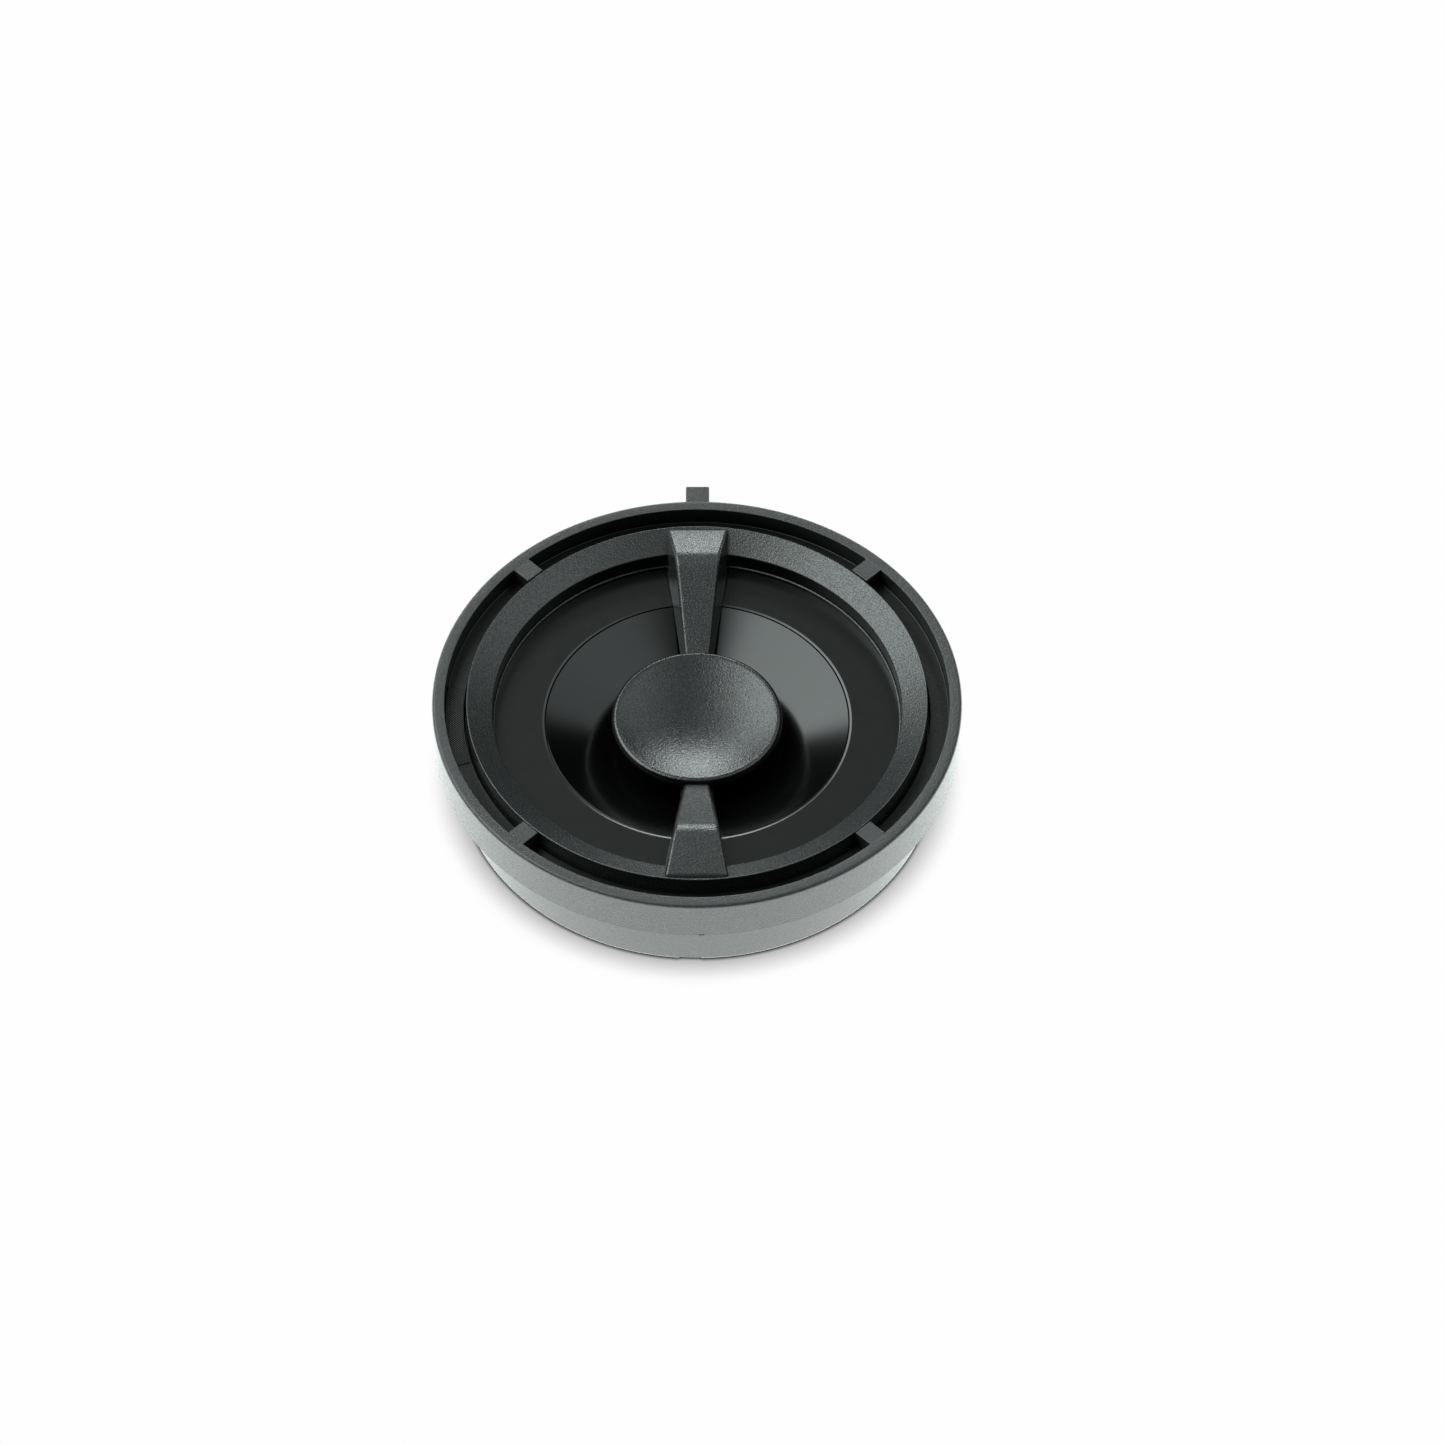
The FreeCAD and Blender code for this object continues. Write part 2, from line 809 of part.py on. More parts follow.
def make_terminal_board():
    """Insulating board in the rear recess, a sector of a ring."""
    body = new_body("terminal_board")
    revolve(
        body,
        [
            ("board_inner", "board_low"),
            ("board_outer", "board_low"),
            ("board_outer", "housing_floor_low"),
            ("board_inner", "housing_floor_low"),
        ],
        span="board_span",
    )
    drill_rivet_holes(
        body, "board_low - overrun", "housing_floor_low + overrun", "board_start"
    )
    body.Placement.Rotation = FreeCAD.Rotation(UP, value("board_start"))
    return body


def make_terminal(name, width, side):
    """Blade terminal: a riveted foot, a joggle and a flat blade beside the board."""
    body = new_body(name)
    foot_low = "board_low - blade_thickness"
    joggle_end = "joggle_start + joggle_length"
    sketch = new_sketch(body, "XZ_Plane")
    outline(
        sketch,
        [
            ("foot_start", foot_low),
            ("joggle_start", foot_low),
            (joggle_end, "blade_low"),
            ("blade_end", "blade_low"),
            ("blade_end", "blade_low + blade_thickness"),
            (f"{joggle_end} + blade_thickness / 2", "blade_low + blade_thickness"),
            ("joggle_start + blade_thickness / 2", "board_low"),
            ("foot_start", "board_low"),
        ],
    )
    extrude(body, "Pad", sketch, width, reverse=True)
    hole = new_sketch(body, "XY_Plane", "board_low + overrun")
    row_to_edge = "rivet_row - blade_inner_edge"
    across_blade = row_to_edge if side > 0 else f"{width} - ({row_to_edge})"
    disc(hole, "rivet_across", across_blade, "rivet_radius + rivet_clearance")
    extrude(body, "Pocket", hole, "blade_thickness + 2 * overrun")
    if side > 0:
        body.Placement.Base = FreeCAD.Vector(0, value("blade_inner_edge"), 0)
    else:
        far_edge = value(f"blade_inner_edge + {width}")
        body.Placement = FreeCAD.Placement(
            FreeCAD.Vector(0, far_edge, 0), FreeCAD.Rotation(UP, HALF_TURN)
        )
    return body


def make_terminal_rivets():
    """Rivets that clamp the terminals, the board, the housing floor and the chassis."""
    rivets = []
    for side in (1, -1):
        place = (side * value("rivet_across"), value("rivet_row"))
        foot_low = "board_low - blade_thickness"
        shank = cylinder("rivet_shank", "rivet_radius", foot_low, "chassis_floor_top", place)
        lower = cylinder(
            "rivet_lower_head",
            "rivet_head_radius",
            f"{foot_low} - rivet_head_height",
            foot_low,
            place,
        )
        upper = cylinder(
            "rivet_upper_head",
            "rivet_head_radius",
            "chassis_floor_top",
            "chassis_floor_top + rivet_head_height",
            place,
        )
        rivets.append(fused("rivet", [shank, lower, upper]))
    return group("terminal_rivets", rivets)


def make_solder_joints():
    """A cone of solder on each rivet's inner head."""
    joints = []
    for side in (1, -1):
        joint = doc.addObject("Part::Cone", "solder")
        joint.setExpression("Radius1", bound("rivet_head_radius - solder_height / 2"))
        joint.setExpression("Radius2", bound("solder_top_radius"))
        joint.setExpression("Height", bound("solder_height"))
        joint.Placement.Base = FreeCAD.Vector(
            side * value("rivet_across"),
            value("rivet_row"),
            value("chassis_floor_top + rivet_head_height"),
        )
        joints.append(joint)
    return group("solder_joints", joints)


def make_tinsel_lead(name, side):
    """Flexible lead from a solder joint to the coil, an upright arc that bows upwards."""
    start = FreeCAD.Vector(
        side * value("rivet_across"),
        value("rivet_row"),
        value("chassis_floor_top + rivet_head_height + solder_height"),
    )
    reach = value("coil_inner + former_wall + lead_radius")
    heading = math.atan2(start.y, start.x)
    span = math.hypot(start.x, start.y) - reach
    half = math.degrees(math.asin(span / 2 / value("lead_bend")))
    drop = value("lead_bend") * math.cos(math.radians(half))
    middle = reach + span / 2
    centre = FreeCAD.Vector(
        middle * math.cos(heading), middle * math.sin(heading), start.z - drop
    )
    lead = doc.addObject("Part::Torus", name)
    lead.setExpression("Radius1", bound("lead_bend"))
    lead.setExpression("Radius2", bound("lead_radius"))
    lead.Angle3 = 2 * half
    upright = FreeCAD.Rotation(UP, math.degrees(heading)) * FreeCAD.Rotation(
        FreeCAD.Vector(1, 0, 0), QUARTER_TURN
    )
    to_arc = FreeCAD.Rotation(UP, QUARTER_TURN - half)
    lead.Placement = FreeCAD.Placement(centre, upright * to_arc)
    lead.Label = name
    return lead


def make_chassis_screws():
    """Slotted screws up through the housing and the chassis into the front ring."""
    screws = []
    for degrees in screw_angles():
        place = on_circle(value("screw_circle"), degrees)
        head_low = "housing_floor_low - screw_head_height"
        shank = cylinder("screw_shank", "screw_radius", "housing_floor_low", "screw_tip", place)
        head = cylinder("screw_head", "screw_head_radius", head_low, "housing_floor_low", place)
        slot = doc.addObject("Part::Box", "screw_slot")
        slot.setExpression("Length", bound("2 * (screw_head_radius + overrun)"))
        slot.setExpression("Width", bound("slot_width"))
        slot.setExpression("Height", bound("slot_depth"))
        slot.Placement.Base = FreeCAD.Vector(
            place[0] - value("screw_head_radius + overrun"),
            place[1] - value("slot_width") / 2,
            value(head_low),
        )
        screw = doc.addObject("Part::Cut", "screw")
        screw.Base = fused("screw_blank", [shank, head])
        screw.Tool = slot
        screws.append(screw)
    return group("chassis_screws", screws)


def make_rest():
    """The plain rings and discs."""
    coil_face = "coil_inner + former_wall"
    return [
        washer_part("gasket_ring", "gasket_inner", "frame_outer", "skirt_low", "washer_low"),
        washer_part(
            "surround_frame", "frame_inner", "frame_outer", "chassis_floor_top", "surround_low"
        ),
        washer_part(
            "voice_coil_winding",
            coil_face,
            f"{coil_face} + winding_depth",
            "winding_low",
            "winding_top",
        ),
        disc_part("magnet", "magnet_radius", "yoke_floor", "magnet_top"),
        disc_part("pole_plate", "pole_radius", "magnet_top", "yoke_top"),
        disc_part("damping_felt", "felt_radius", "yoke_top", "felt_top"),
    ]


def make_all():
    """Every sub-part, front to back."""
    return [
        make_adapter_rim(),
        make_slot_mesh_pad(),
        make_rear_housing(),
        make_front_ring(),
        make_center_cap(),
        make_trim_washer(),
        make_diaphragm(),
        make_surround(),
        make_voice_coil_former(),
        make_yoke_cup(),
        make_chassis(),
        make_terminal_board(),
        make_terminal("terminal_positive", "wide_blade", 1),
        make_terminal("terminal_negative", "narrow_blade", -1),
        make_terminal_rivets(),
        make_solder_joints(),
        make_tinsel_lead("tinsel_lead_positive", 1),
        make_tinsel_lead("tinsel_lead_negative", -1),
        make_chassis_screws(),
        *make_rest(),
    ]


def check(parts):
    """Stop if any object of the document failed or any sub-part is not a sound solid."""
    for item in doc.Objects:
        if "Invalid" in item.State or "Error" in item.State:
            raise RuntimeError(f"{item.Name} failed: {item.State}")
    for part in parts:
        if part.Shape.isNull() or not part.Shape.isValid() or not part.Shape.Solids:
            raise RuntimeError(f"{part.Label} is not a valid solid")


def write(parts):
    """One STEP file for each sub-part, named after it."""
    os.makedirs("parts", exist_ok=True)
    for part in parts:
        part.Shape.exportStep(f"parts/{part.Label}.step")
        print(f"{part.Label}: {len(part.Shape.Solids)} solid(s), {part.Shape.Volume:.2f} mm3")


sub_parts = make_all()
doc.recompute()
check(sub_parts)
write(sub_parts)
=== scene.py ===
import math

import bmesh
import bpy
from mathutils import Matrix, Vector


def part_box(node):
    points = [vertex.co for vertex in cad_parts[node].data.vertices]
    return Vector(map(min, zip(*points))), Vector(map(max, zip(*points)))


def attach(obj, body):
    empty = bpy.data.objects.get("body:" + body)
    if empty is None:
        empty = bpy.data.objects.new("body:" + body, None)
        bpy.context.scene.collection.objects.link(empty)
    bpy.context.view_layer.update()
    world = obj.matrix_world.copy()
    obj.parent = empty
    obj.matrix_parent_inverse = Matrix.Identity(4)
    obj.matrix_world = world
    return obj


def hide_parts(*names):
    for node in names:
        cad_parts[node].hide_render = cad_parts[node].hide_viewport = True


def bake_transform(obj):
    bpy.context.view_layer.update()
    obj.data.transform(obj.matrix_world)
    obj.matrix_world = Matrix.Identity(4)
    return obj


# Car tweeter in its adapter ring. Metres, in the CAD frame: the axis is Z, the foot of the
# barrel is at zero, the locating tab points along +Y and the camera looks along +Y.

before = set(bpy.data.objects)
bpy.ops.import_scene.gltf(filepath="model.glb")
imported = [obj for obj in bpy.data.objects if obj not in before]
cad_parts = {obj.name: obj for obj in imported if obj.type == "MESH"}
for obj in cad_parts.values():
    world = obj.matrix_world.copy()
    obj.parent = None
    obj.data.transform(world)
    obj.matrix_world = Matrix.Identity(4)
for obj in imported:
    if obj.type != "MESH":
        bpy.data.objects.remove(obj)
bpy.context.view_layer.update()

MM = 0.001
TURN = 2 * math.pi
FINE = 288  # segments round a visible ring
PLAIN = 96  # segments round a small or hidden ring
BEVEL_STEPS = 3

# ---------------------------------------------------------------- sizes from the frame

RIM_LOW, RIM_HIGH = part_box("adapter_rim")
RING_LOW, RING_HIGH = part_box("front_ring")
WASHER_LOW, WASHER_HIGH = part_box("trim_washer")
CAP_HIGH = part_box("center_cap")[1]
DISH_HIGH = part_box("diaphragm")[1]
HOUSING_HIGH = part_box("rear_housing")[1]
PAD_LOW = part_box("slot_mesh_pad")[0]

RIM_RADIUS = RIM_HIGH.x
RIM_TOP = RIM_HIGH.z
ADAPTER_WALL = 1.24 * MM
SEAT = RIM_LOW.z
TAB_REACH = RIM_HIGH.y
LEDGE = PAD_LOW.z
RING_RADIUS = RING_HIGH.x
RING_FOOT = RING_LOW.z
CREASE_TOP = RING_HIGH.z
CAP_RADIUS = CAP_HIGH.x
CAP_LIP = CAP_HIGH.z
WASHER_TOP = WASHER_HIGH.z
WASHER_RADIUS = WASHER_HIGH.x
DISH_EDGE = DISH_HIGH.z
BARREL_RADIUS = HOUSING_HIGH.x
SPIGOT_TOP = HOUSING_HIGH.z

# ---------------------------------------------------------------- mesh helpers


def rounded(corners, steps=5):
    """A closed outline from (across, up, radius) corners, each corner filleted by its radius."""
    outline = []
    count = len(corners)
    for index, (across, up, radius) in enumerate(corners):
        here = Vector((across, up))
        if radius == 0:
            outline.append(here)
            continue
        before = Vector(corners[index - 1][:2]) - here
        after = Vector(corners[(index + 1) % count][:2]) - here
        half = before.angle(after) / 2
        reach = min(radius / math.tan(half), before.length * 0.45, after.length * 0.45)
        radius = reach * math.tan(half)
        centre = here + (before.normalized() + after.normalized()).normalized() * (
            radius / math.sin(half)
        )
        start = here + before.normalized() * reach - centre
        sweep = start.angle_signed(here + after.normalized() * reach - centre)
        for step in range(steps + 1):
            turn = Matrix.Rotation(-sweep * step / steps, 2)
            outline.append(centre + turn @ start)
    return outline


def lathe(name, outline, segments=FINE):
    """A solid of revolution from a closed outline of (radius, height) points."""
    mesh = bmesh.new()
    rings = []
    for radius, height in outline:
        if radius < 1e-9:
            rings.append([mesh.verts.new((0, 0, height))])
            continue
        rings.append(
            [
                mesh.verts.new(
                    (
                        radius * math.cos(TURN * k / segments),
                        radius * math.sin(TURN * k / segments),
                        height,
                    )
                )
                for k in range(segments)
            ]
        )
    for lower, upper in zip(rings, rings[1:] + rings[:1]):
        for k in range(segments):
            ahead = (k + 1) % segments
            around = [
                lower[k % len(lower)],
                lower[ahead % len(lower)],
                upper[ahead % len(upper)],
                upper[k % len(upper)],
            ]
            corners = list(dict.fromkeys(around))
            if len(corners) > 2:
                mesh.faces.new(corners)
    return finished(name, mesh)


def finished(name, mesh):
    """An object from a bmesh, with its normals pointing outwards."""
    bmesh.ops.recalc_face_normals(mesh, faces=mesh.faces)
    data = bpy.data.meshes.new(name)
    mesh.to_mesh(data)
    mesh.free()
    piece = bpy.data.objects.new(name, data)
    bpy.context.scene.collection.objects.link(piece)
    return piece


def prism(name, sections, bevel=0.0):
    """A closed solid through several four-sided sections, with bevelled edges."""
    mesh = bmesh.new()
    rings = [[mesh.verts.new(corner) for corner in section] for section in sections]
    for near, far in zip(rings, rings[1:]):
        for k in range(4):
            mesh.faces.new((near[k], near[(k + 1) % 4], far[(k + 1) % 4], far[k]))
    mesh.faces.new(rings[0])
    mesh.faces.new(rings[-1])
    bmesh.ops.recalc_face_normals(mesh, faces=mesh.faces)
    if bevel:
        bmesh.ops.bevel(
            mesh,
            geom=list(mesh.edges),
            offset=bevel,
            segments=BEVEL_STEPS,
            profile=0.5,
            affect="EDGES",
            clamp_overlap=True,
        )
    return finished(name, mesh)


def block(name, low, high, bevel=0.0):
    """A bevelled box between two corners."""
    low, high = Vector(low), Vector(high)
    sections = [
        [(x, low.y, low.z), (x, high.y, low.z), (x, high.y, high.z), (x, low.y, high.z)]
        for x in (low.x, high.x)
    ]
    return prism(name, sections, bevel)


def turned_by(piece, degrees):
    """Turn a piece's mesh about the axis."""
    piece.data.transform(Matrix.Rotation(math.radians(degrees), 4, "Z"))
    return piece


def combine(piece, others, operation):
    """Union or cut the other pieces into the first one and drop them."""
    for other in others:
        modifier = piece.modifiers.new("combine", "BOOLEAN")
        modifier.operation = operation
        modifier.solver = "EXACT"
        modifier.object = other
    apply_modifiers(piece)
    for other in others:
        bpy.data.objects.remove(other)
    return piece


def apply_modifiers(piece):
    """Write the modifiers' result into the mesh."""
    graph = bpy.context.evaluated_depsgraph_get()
    result = bpy.data.meshes.new_from_object(piece.evaluated_get(graph))
    piece.modifiers.clear()
    piece.data = result


def smooth(piece, degrees=35):
    """Smooth shading with hard edges kept, and flat faces kept flat."""
    for face in piece.data.polygons:
        face.use_smooth = True
    piece.data.set_sharp_from_angle(angle=math.radians(degrees))
    modifier = piece.modifiers.new("flat faces stay flat", "WEIGHTED_NORMAL")
    modifier.keep_sharp = True
    return piece


def paint(piece, material):
    """Give a piece one material."""
    piece.data.materials.clear()
    piece.data.materials.append(material)


def place(piece, body, material, node):
    """Give a piece its body, its material and the CAD node that it stands for."""
    paint(piece, material)
    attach(piece, body)
    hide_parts(node)


# ---------------------------------------------------------------- materials

COLOUR_A, COLOUR_B, COLOUR_RESULT = 6, 7, 2  # sockets of a Mix node that mixes colours

# Noise scales, in cells per metre.
PIT_SCALE = 5600
FINE_SCALE = 16000
GLINT_SCALE = 8500
CLOUD_SCALE = 160

# Painted shade: in a plastic's zone of smoother finish the colour is made darker and the sheen
# lower; the finer grain and lower roughness there are the finish itself.
PAINTED_SHADE_LEVEL = 0.003
POLISHED_GRAIN = 0.06
POLISHED_ROUGHNESS = 0.8
PAINTED_SHADE_SHEEN = 0.6
# Painted shadow line: a narrow zone with less sheen, standing in for the shade under an edge.
PAINTED_LINE_SHEEN = 0.56


class Shader:
    """A node material with short calls for the nodes that these surfaces need."""

    def __init__(self, name):
        self.material = bpy.data.materials.new(name)
        self.material.use_nodes = True
        self.nodes = self.material.node_tree.nodes
        self.links = self.material.node_tree.links
        self.surface = self.nodes["Principled BSDF"]
        self.place = self.add("ShaderNodeTexCoord").outputs["Object"]

    def add(self, kind, **settings):
        node = self.nodes.new(kind)
        for key, setting in settings.items():
            setattr(node, key, setting)
        return node

    def feed(self, node, socket, source):
        if hasattr(source, "is_output"):
            self.links.new(source, node.inputs[socket])
        else:
            node.inputs[socket].default_value = source

    def set(self, **sockets):
        for socket, source in sockets.items():
            self.feed(self.surface, socket.replace("_", " "), source)

    def noise(self, scale, detail=2.0, roughness=0.5, where=None):
        node = self.add("ShaderNodeTexNoise")
        self.feed(node, "Vector", where or self.place)
        self.feed(node, "Scale", scale)
        self.feed(node, "Detail", detail)
        self.feed(node, "Roughness", roughness)
        return node.outputs["Fac"]

    def cells(self, scale):
        node = self.add("ShaderNodeTexVoronoi", feature="F1")
        self.feed(node, "Vector", self.place)
        self.feed(node, "Scale", scale)
        return node.outputs["Distance"]

    def spread(self, source, low, high, out_low=0.0, out_high=1.0):
        node = self.add("ShaderNodeMapRange")
        self.feed(node, "Value", source)
        self.feed(node, "From Min", low)
        self.feed(node, "From Max", high)
        self.feed(node, "To Min", out_low)
        self.feed(node, "To Max", out_high)
        return node.outputs["Result"]

    def math(self, operation, first, second=0.0):
        node = self.add("ShaderNodeMath", operation=operation)
        self.feed(node, 0, first)
        self.feed(node, 1, second)
        return node.outputs["Value"]

    def mix(self, amount, first, second):
        node = self.add("ShaderNodeMix", data_type="RGBA")
        self.feed(node, "Factor", amount)
        self.feed(node, COLOUR_A, first)
        self.feed(node, COLOUR_B, second)
        return node.outputs[COLOUR_RESULT]

    def within(self, core, radius, height, fade=1e-5):
        """1 between two radii from the axis and a fade below the height, 0 elsewhere."""
        split = self.add("ShaderNodeSeparateXYZ")
        self.links.new(self.place, split.inputs[0])
        squares = [self.math("POWER", split.outputs[axis], 2.0) for axis in "XY"]
        reach = self.math("SQRT", self.math("ADD", *squares))
        ring = self.math("LESS_THAN", reach, radius)
        ring = self.math("MULTIPLY", ring, self.math("GREATER_THAN", reach, core))
        low = self.spread(split.outputs["Z"], height - fade, height, 1.0, 0.0)
        return self.math("MULTIPLY", ring, low)

    def scaled(self, source, zone, share):
        """The source, times share where the zone is 1."""
        return self.math("MULTIPLY", source, self.spread(zone, 0.0, 1.0, 1.0, share))

    def bump(self, source, strength, depth, under=None):
        node = self.add("ShaderNodeBump")
        self.feed(node, "Height", source)
        self.feed(node, "Strength", strength)
        self.feed(node, "Distance", depth)
        if under is not None:
            self.feed(node, "Normal", under)
        return node.outputs["Normal"]


def grey(level):
    """A nearly neutral colour with a slight cool cast."""
    return (level * 0.96, level, level * 0.99, 1.0)


def solid(colour, share=1.0):
    """A colour times a share, none of it above 1, with full alpha."""
    return tuple(min(1.0, c * share) for c in colour) + (1.0,)


def moulded_plastic(name, level, roughness, relief, glitter=0, polish_and_shade=None, painted_shadow_line=None):
    """Black moulded plastic with spark-eroded grain.

    Glitter is how far the sheen varies from grain to grain. A plastic that has it is smoother
    in one zone, with painted shade there (darker colour, less sheen), and has a painted shadow
    line (less sheen) in a second zone, each zone given as within() takes it.
    """
    shader = Shader(name)
    pits = shader.noise(PIT_SCALE, 1.5, 0.5)
    fine = shader.noise(FINE_SCALE, 1.0)
    clouds = shader.noise(CLOUD_SCALE, 2.0)
    speckle = shader.spread(pits, 0.35, 0.68)
    shade = shader.mix(speckle, grey(level * 0.8), grey(level * 1.3))
    shade = shader.mix(shader.spread(clouds, 0.3, 0.7, 0.0, 0.35), shade, grey(level * 0.85))
    gloss = shader.spread(pits, 0.3, 0.7, roughness + 0.06, roughness - 0.06)
    grain = 1.0
    if glitter:
        glint = shader.noise(GLINT_SCALE, 1.0)
        sheen = shader.spread(glint, 0.3, 0.7, 0.5 - glitter, 0.5 + glitter)
        # Painted shade: this zone gets a darker colour and less sheen, standing in for shade in
        # recesses and under edges; its finer grain and lower roughness are a smoother finish.
        shade_zone = shader.within(*polish_and_shade)
        shade = shader.mix(shade_zone, shade, grey(PAINTED_SHADE_LEVEL))
        grain = shader.spread(shade_zone, 0.0, 1.0, 1.0, POLISHED_GRAIN)
        gloss = shader.scaled(gloss, shade_zone, POLISHED_ROUGHNESS)
        sheen = shader.scaled(sheen, shade_zone, PAINTED_SHADE_SHEEN)
        # Painted shadow line: less sheen in this zone, for the shade under an overhanging edge.
        if painted_shadow_line:
            sheen = shader.scaled(sheen, shader.within(*painted_shadow_line), PAINTED_LINE_SHEEN)
        shader.set(Specular_IOR_Level=sheen)
    normal = shader.bump(fine, 0.5, relief * 0.12, shader.bump(pits, grain, relief))
    shader.set(Base_Color=shade, Roughness=gloss, Normal=normal)
    return shader.material


def woven_pad(name, level):
    """A thin pad of fine square weave."""
    shader = Shader(name)
    turned = shader.add("ShaderNodeMapping")
    shader.feed(turned, "Vector", shader.place)
    turned.inputs["Rotation"].default_value = (0, 0, math.radians(45))
    threads = []
    for direction in "XY":
        wave = shader.add("ShaderNodeTexWave", wave_type="BANDS", bands_direction=direction)
        shader.feed(wave, "Vector", turned.outputs["Vector"])
        shader.feed(wave, "Scale", 1600.0)
        shader.feed(wave, "Distortion", 0.3)
        threads.append(wave.outputs["Fac"])
    weave = shader.math("MULTIPLY", *threads)
    shader.set(
        Base_Color=shader.mix(weave, grey(level * 0.3), grey(level * 2.4)),
        Roughness=shader.spread(weave, 0.0, 1.0, 0.6, 0.35),
        Specular_IOR_Level=shader.spread(weave, 0.0, 0.8, 0.05, 0.5),
        Normal=shader.bump(weave, 0.6, 3e-5),
    )
    return shader.material


def satin_lacquer(name, level, roughness):
    """Thin satin black lacquer with faint brushed streaks below it."""
    shader = Shader(name)
    stretch = shader.add("ShaderNodeMapping")
    shader.feed(stretch, "Vector", shader.place)
    stretch.inputs["Rotation"].default_value = (0, 0, math.radians(38))
    stretch.inputs["Scale"].default_value = (1.0, 0.06, 1.0)
    streaks = shader.noise(3800, 3.0, 0.6, stretch.outputs["Vector"])
    dust = shader.noise(900, 2.0)
    shader.set(
        Base_Color=shader.mix(streaks, grey(level * 0.9), grey(level * 1.1)),
        Roughness=shader.spread(dust, 0.3, 0.7, roughness - 0.005, roughness + 0.006),
        Normal=shader.bump(streaks, 0.05, 4e-6),
    )
    return shader.material


def gloss_coating(name, level):
    """Deep gloss black coating of the diaphragm, with the faintest orange peel."""
    shader = Shader(name)
    peel = shader.noise(700, 2.0)
    dust = shader.noise(6000, 2.0)
    shader.set(
        Base_Color=shader.mix(dust, grey(level * 0.9), grey(level * 1.1)),
        Roughness=shader.spread(dust, 0.4, 0.75, 0.15, 0.17),
        Normal=shader.bump(peel, 0.02, 1e-5),
    )
    shader.surface.inputs["IOR"].default_value = 1.42
    return shader.material


def metal(name, colour, roughness):
    """Bare or plated metal with fine marks and slight tarnish."""
    shader = Shader(name)
    marks = shader.noise(2500, 3.0, 0.6)
    tarnish = shader.spread(shader.noise(300, 3.0), 0.35, 0.7)
    shader.set(
        Base_Color=shader.mix(tarnish, solid(colour), solid(colour, 0.72)),
        Roughness=shader.spread(marks, 0.3, 0.7, roughness - 0.06, roughness + 0.1),
        Normal=shader.bump(marks, 0.12, 5e-6),
    )
    shader.surface.inputs["Metallic"].default_value = 1.0
    return shader.material


def soft_matte(name, colour, scale, roughness=0.9, strength=0.6):
    """Foam, felt, rubber or board: a matte colour with a fibrous or cellular relief."""
    shader = Shader(name)
    fibres = shader.noise(scale, 4.0, 0.7)
    cells = shader.cells(scale * 0.6)
    shader.set(
        Base_Color=shader.mix(fibres, solid(colour, 0.6), solid(colour, 1.3)),
        Roughness=shader.spread(fibres, 0.3, 0.7, roughness - 0.05, roughness + 0.05),
        Normal=shader.bump(cells, strength, 3e-5),
    )
    return shader.material


def wound_wire(name, colour):
    """Enamelled wire laid in turns about the axis."""
    shader = Shader(name)
    wave = shader.add("ShaderNodeTexWave", wave_type="BANDS", bands_direction="Z")
    shader.feed(wave, "Vector", shader.place)
    shader.feed(wave, "Scale", 3500.0)
    turns = wave.outputs["Fac"]
    shader.set(
        Base_Color=shader.mix(turns, solid(colour, 0.35), solid(colour)),
        Roughness=shader.spread(shader.noise(2000), 0.3, 0.7, 0.25, 0.4),
        Normal=shader.bump(turns, 0.7, 4e-5),
    )
    shader.surface.inputs["Metallic"].default_value = 1.0
    return shader.material


RIM_PLASTIC = moulded_plastic(
    "rim_plastic",
    0.018,
    0.40,
    3.6e-5,
    0.12,
    # Painted shade on the inner wall, webs and slot floor, fading out over the top 1.5 mm.
    polish_and_shade=(0, RIM_RADIUS - ADAPTER_WALL + 0.05 * MM, RIM_TOP, 1.5 * MM),
    # Painted shadow line along the bottom of the skirt, at the rim's joint with the barrel.
    painted_shadow_line=(RIM_RADIUS - 0.5 * MM, RIM_RADIUS + MM, SEAT + 0.16 * MM),
)
# Painted shade at the foot of the ring's inner wall and on its bead.
RING_PLASTIC = moulded_plastic(
    "ring_plastic", 0.016, 0.29, 2.9e-5, 0.26, polish_and_shade=(18.7 * MM, 20.13 * MM, 9.95 * MM)
)
CAP_PLASTIC = moulded_plastic(
    "cap_plastic",
    0.008,
    0.25,
    2.8e-5,
    0.20,
    # Painted shade on the cap's side below its lip.
    polish_and_shade=(CAP_RADIUS - 0.25 * MM, CAP_RADIUS + MM, CAP_LIP - 0.1 * MM),
)
HOUSING_PLASTIC = moulded_plastic("housing_plastic", 0.034, 0.34, 2.0e-5)
CHASSIS_PLASTIC = moulded_plastic("chassis_plastic", 0.006, 0.55, 3.0e-5)
WASHER_BLACK = satin_lacquer("washer_black", 0.003, 0.22)
DISH_BLACK = gloss_coating("dish_black", 0.001)
MESH_PAD = woven_pad("mesh_pad", 0.006)

# ---------------------------------------------------------------- visible front pieces

RIM_BORE = 22.9 * MM
WEB_START, WEB_WIDTH = 22.72 * MM, 2.05 * MM
TAB_WIDTH = 2.36 * MM
TAB_LOW, TAB_HIGH = 9.5 * MM, 11.2 * MM
NUB_WIDTH, NUB_HEIGHT = 0.5 * MM, 0.15 * MM
NUB_OFFSET = 1.1  # degrees from -Y


